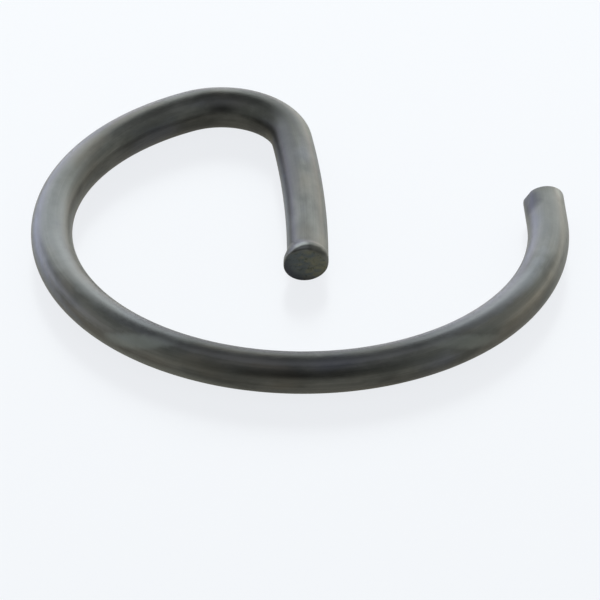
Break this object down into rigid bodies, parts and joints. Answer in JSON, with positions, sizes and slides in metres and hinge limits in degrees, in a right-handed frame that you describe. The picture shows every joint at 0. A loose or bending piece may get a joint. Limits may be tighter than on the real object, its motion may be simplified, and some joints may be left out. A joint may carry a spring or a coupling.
{
  "type": "circlip retaining ring",
  "caption": "Open spring ring of round wire that snaps into a groove in a bore to hold a pin, with an end bent inwards as a tang to grip it by.",
  "frame": {"origin": "middle of the ring's circle, on the middle plane of the wire", "axes": "+Z is the ring's axis, square to its plane; +Y points to the far side, where the mouth lies between the bend and the plain end; +X points to the side of the plain end"},
  "size_m": [0.013, 0.0125, 0.001],
  "materials": {
    "spring_steel": "dark oiled spring wire, satin, with fine drawing marks along it and duller sheared ends"
  },
  "bodies": {
    "root": {"wire_ring": "spring_steel"}
  },
  "joints": []
}
